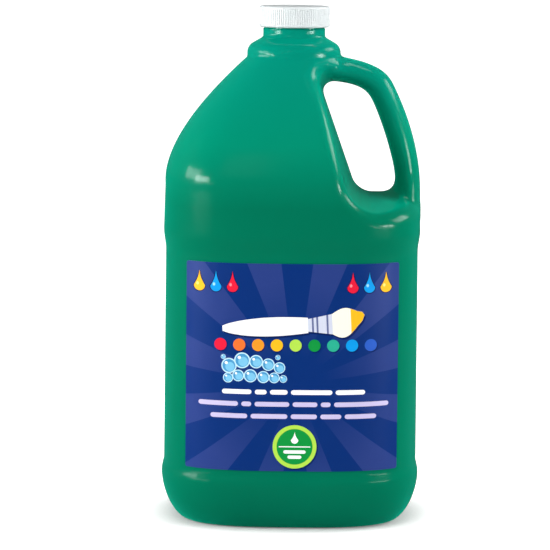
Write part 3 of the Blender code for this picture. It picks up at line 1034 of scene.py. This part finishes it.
def bottle_material():
    """Blow-moulded polyethylene: orange peel, faint upright die lines and a parting line."""
    sheen = {"sheen_weight": 0.85, "sheen_roughness": 0.4, "sheen_tint": (0.0, 0.6, 0.4)}
    s = Surface("bottle_polyethylene", specular_ior_level=0.12, ior=1.5, **sheen)
    axes = s.axes()
    # Painted light and shade: the green is darkest near the base and lightest on the shoulder, standing in
    # for how the light falls.
    green = linear(*GREENS_WITH_PAINTED_LIGHT[0])
    for i in (0, 1):
        rise = s.ramp(axes["Z"], 0.0, 1.0, *PAINTED_LIGHT_HEIGHTS[i : i + 2])
        green = s.mix(rise, green, linear(*GREENS_WITH_PAINTED_LIGHT[i + 1]))
    cloud = s.ramp(s.noise(14.0, 2.0), 0.93, 1.07)
    s.set("Base Color", s.scaled(green, cloud))
    s.set("Roughness", s.ramp(s.noise(60.0), 0.12, 0.18))
    peel = s.noise(420.0, 2.0)
    die_lines = s.noise(1.0, place=s.stretched((260.0, 260.0, 5.0)))
    parting = s.ramp(s.math("ABSOLUTE", axes["Y"]), 1.0, 0.0, *PARTING_LINE)
    height = s.math("ADD", s.math("MULTIPLY", peel, 0.3), s.math("MULTIPLY", die_lines, 0.35))
    s.bump(s.math("ADD", height, s.math("MULTIPLY", parting, 2.0)), 0.06 * MM)
    return s.material


def cap_material():
    """Injection-moulded polypropylene, satin white."""
    white = linear(210, 216, 217)
    s = Surface("cap_polypropylene", ior=1.49)
    s.set("Base Color", s.mix(s.noise(35.0, 2.0), shade(white, 0.97), shade(white, 1.02)))
    s.set("Roughness", s.ramp(s.noise(150.0), 0.36, 0.5))
    s.bump(s.noise(900.0), 0.03 * MM)
    return s.material


def liner_material():
    """Foamed polyethylene with fine closed cells."""
    foam = linear(238, 237, 230)
    s = Surface("liner_foam", roughness=0.7)
    cells = s.node("ShaderNodeTexVoronoi", Vector=s.place, Scale=1400.0).outputs["Distance"]
    s.set("Base Color", s.mix(cells, shade(foam, 0.9), foam))
    s.bump(cells, 0.1 * MM)
    return s.material


def paint_material():
    """Thick wet paint with a slow swirl of pigment."""
    green = linear(0, 120, 88)
    s = Surface("wet_paint", roughness=0.16, ior=1.38)
    s.set("Base Color", s.mix(s.noise(45.0, 4.0, 0.6), shade(green, 0.85), shade(green, 1.15)))
    s.bump(s.noise(120.0, 2.0), 0.2 * MM)
    return s.material


INK_COLOURS = {
    "amber": (245, 148, 36),
    "band": (96, 104, 150),
    "blue": (40, 90, 190),
    "cream": (255, 250, 225),
    "lavender": (200, 190, 225),
    "leaf": (10, 145, 60),
    "lime": (175, 218, 75),
    "navy": (0, 44, 113),
    "orange": (238, 112, 45),
    "outline": (6, 18, 70),
    "pale": (190, 226, 240),
    "ray": (38, 59, 126),
    "red": (226, 24, 56),
    "red_light": (250, 130, 140),
    "shadow": (0, 30, 88),
    "silver": (205, 210, 226),
    "sky": (0, 150, 226),
    "sky_deep": (70, 150, 200),
    "sky_light": (150, 212, 244),
    "sky_soft": (120, 192, 226),
    "teal": (40, 170, 140),
    "white": (250, 250, 252),
    "yellow": (247, 184, 28),
    "yellow_light": (255, 222, 120),
}


def ink_material(name, colour):
    """Printed ink on a glossy film, with a fine grain and a slow unevenness. The rays fade in from navy."""
    s = Surface(f"ink_{name}", ior=1.5, specular_ior_level=0.15)
    base = linear(*colour)
    grain = s.mix(s.noise(2600.0, 1.0), shade(base, 0.94), shade(base, 1.05))
    if name == "ray":
        axes = s.axes()
        low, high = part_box("front_label")
        squares = []
        middle = (low + high) / 2
        for axis, centre in (("X", middle.x + RAY_CENTRE[0] * MM), ("Z", middle.z + RAY_CENTRE[1] * MM)):
            away = s.math("SUBTRACT", axes[axis], centre)
            squares.append(s.math("MULTIPLY", away, away))
        reach = s.math("SQRT", s.math("ADD", *squares))
        grain = s.mix(s.ramp(reach, 0.0, 1.0, *RAY_FADE), linear(*INK_COLOURS["navy"]), grain)
    s.set("Base Color", grain)
    s.set("Roughness", s.ramp(s.noise(90.0, 2.0), 0.3, 0.4))
    s.bump(s.noise(700.0, 2.0), 0.02 * MM)
    return s.material


def by_ray(tree, kind, seen, unseen):
    """One value for rays of a kind, such as Is Camera Ray, and another for the rest."""
    path = tree.nodes.new("ShaderNodeLightPath")
    mix = tree.nodes.new("ShaderNodeMix")
    for socket, value in (("Factor", path.outputs[kind]), ("A", unseen), ("B", seen)):
        feed(tree, value, mix.inputs[socket])
    return mix.outputs["Result"]


# ---------------------------------------------------------------- studio

FLOOR_REACH = 40.0
FLOOR_ALBEDO = 0.62
FLOOR_MIRRORED = 0.04
FLOOR_GLOW = 0.88
FLOOR_FADE = (0.12, 0.5)
CONTACT_REACH = 26 * MM
CONTACT_SAMPLES = 12
CONTACT_GLOW = (0.2, 1.0)
CONTACT_OPENNESS = (0.35, 0.95)
WORLD_LIGHT = 0.45
WORLD_MIRRORED = (0.02, 0.05)
WORLD_FRONT_TO_BACK = (-0.3, 0.9)
CAMERA_PLACE = (0.0, -2085 * MM, 369 * MM)
CAMERA_LENS = 232.4
CAMERA_PAN, CAMERA_PITCH, CAMERA_ROLL = math.radians(0.270), math.radians(-6.236), math.radians(0.58)


def floor_material():
    """A white sweep that glows for the camera: ambient occlusion dims its glow near the object into a painted
    contact shadow, on top of the real shadow in its lit white, and the glow fades up to pure white away from
    the object.
    """
    s = Surface("floor_white", roughness=0.9, specular_ior_level=0.0, emission_color=(1, 1, 1))
    s.set("Base Color", by_ray(s.tree, "Is Glossy Ray", FLOOR_MIRRORED, FLOOR_ALBEDO))
    # Painted contact shadow: the glow is dimmed where the floor is hemmed in by the object.
    open_air = s.node("ShaderNodeAmbientOcclusion", Distance=CONTACT_REACH)
    open_air.samples = CONTACT_SAMPLES
    contact = s.ramp(open_air.outputs["AO"], *CONTACT_GLOW, *CONTACT_OPENNESS)
    distance = s.node("ShaderNodeVectorMath")
    distance.operation = "LENGTH"
    feed(s.tree, s.place, distance.inputs[0])
    glow = s.math("MULTIPLY", s.ramp(distance.outputs["Value"], FLOOR_GLOW, 1.0, *FLOOR_FADE), contact)
    s.set("Emission Strength", by_ray(s.tree, "Is Camera Ray", glow, 0.0))
    return s.material


def make_floor():
    mesh = bpy.data.meshes.new("studio_floor")
    corners = [(u * FLOOR_REACH, v * FLOOR_REACH, 0) for u, v in ((-1, -1), (1, -1), (1, 1), (-1, 1))]
    mesh.from_pydata(corners, [], [(0, 1, 2, 3)])
    mesh.materials.append(floor_material())
    floor = add_object("studio_floor", mesh)


def make_camera():
    data = bpy.data.cameras.new("camera")
    data.sensor_width = 36.0
    data.lens = CAMERA_LENS
    data.clip_end = 100.0
    camera = add_object("camera", data)
    place = Matrix.Translation(CAMERA_PLACE)
    for angle, axis in ((CAMERA_PAN, "Z"), (math.pi / 2 + CAMERA_PITCH, "X"), (CAMERA_ROLL, "Z")):
        place @= Matrix.Rotation(angle, 4, axis)
    camera.matrix_world = place
    bpy.context.scene.camera = camera


def softbox(name, place, aim, size, power, mirrored=False, lights=True):
    """A rectangular studio light, which lights the object, is mirrored in it, or both."""
    data = bpy.data.lights.new(name, "AREA")
    data.shape = "RECTANGLE"
    data.size, data.size_y = size
    data.energy = power
    light = add_object(name, data)
    light.visible_glossy = mirrored
    light.visible_diffuse = lights
    light.location = place
    light.rotation_mode = "QUATERNION"
    light.rotation_quaternion = (Vector(aim) - Vector(place)).to_track_quat("-Z", "Y")


def make_world():
    """Pure white to the camera, an even light on the object, and nearly black where it is mirrored."""
    world = bpy.data.worlds.new("studio")
    world.use_nodes = True
    tree = world.node_tree
    direction = tree.nodes.new("ShaderNodeTexCoord").outputs["Generated"]
    axes = tree.nodes.new("ShaderNodeSeparateXYZ")
    feed(tree, direction, axes.inputs["Vector"])
    level = map_range(tree, axes.outputs["Y"], *WORLD_MIRRORED, *WORLD_FRONT_TO_BACK)
    level.interpolation_type = "SMOOTHSTEP"
    lighting = by_ray(tree, "Is Glossy Ray", level.outputs["Result"], WORLD_LIGHT)
    background = tree.nodes["Background"].inputs
    feed(tree, by_ray(tree, "Is Camera Ray", 1.0, lighting), background["Strength"])
    feed(tree, (1, 1, 1), background["Color"])
    bpy.context.scene.world = world


def make_studio():
    make_floor()
    make_camera()
    make_world()
    softbox("left_fill", (-1.43, -0.46, 0.41), (0, 0, 0.28), (0.7, 0.5), 16)
    softbox("right_fill", (1.39, -0.56, 0.41), (0, 0, 0.28), (0.6, 0.5), 12)
    softbox("handle_fill", (1.29, 0.42, 0.88), (0.06, 0, 0.24), (0.8, 0.5), 12)
    softbox("back_fill", (-1.6, 0.5, 0.7), (0, 0, 0.15), (1.2, 1.2), 8)
    softbox("front_fill", (-0.7, -1.7, 1.2), (0, 0, 0.2), (1.2, 1.0), 18)
    mirrors = (
        ("shoulder_mirror", (-1.49, -0.22, 0.56), (-0.05, 0, 0.2), (0.8, 0.4), 11),
        ("left_neck_mirror", (-0.43, -0.24, 0.262), (0, 0, 0.275), (0.17, 0.07), 1.2),
        ("right_neck_mirror", (0.46, -0.18, 0.262), (0, 0, 0.275), (0.15, 0.07), 0.9),
        ("left_heel_mirror", (-1.32, -0.72, 0.24), (0, 0, 0.03), (0.8, 0.08), 1.4),
        ("right_heel_mirror", (1.32, -0.72, 0.24), (0, 0, 0.03), (0.8, 0.08), 2.6),
        ("handle_mirror", (1.29, 0.42, 0.92), (0.06, 0, 0.24), (0.8, 0.42), 7.5),
        ("top_mirror", (0.35, 0.35, 1.5), (0.05, 0, 0.24), (0.6, 0.3), 3),
    )
    for name, place, aim, size, power in mirrors:
        softbox(name, place, aim, size, power, mirrored=True, lights=False)
    bpy.context.scene.view_settings.view_transform = "Standard"


# ---------------------------------------------------------------- assembly


def main():
    inks = {name: ink_material(name, colour) for name, colour in INK_COLOURS.items()}
    make_bottle(bottle_material())
    make_paint(paint_material())
    make_cap(cap_material())
    make_label("front_label_film", "front_label", -1, front_art, inks)
    make_label("back_label_film", "back_label", 1, back_art, inks)
    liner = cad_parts["cap_liner"]
    liner.data.materials.clear()
    liner.data.materials.append(liner_material())
    make_studio()


main()
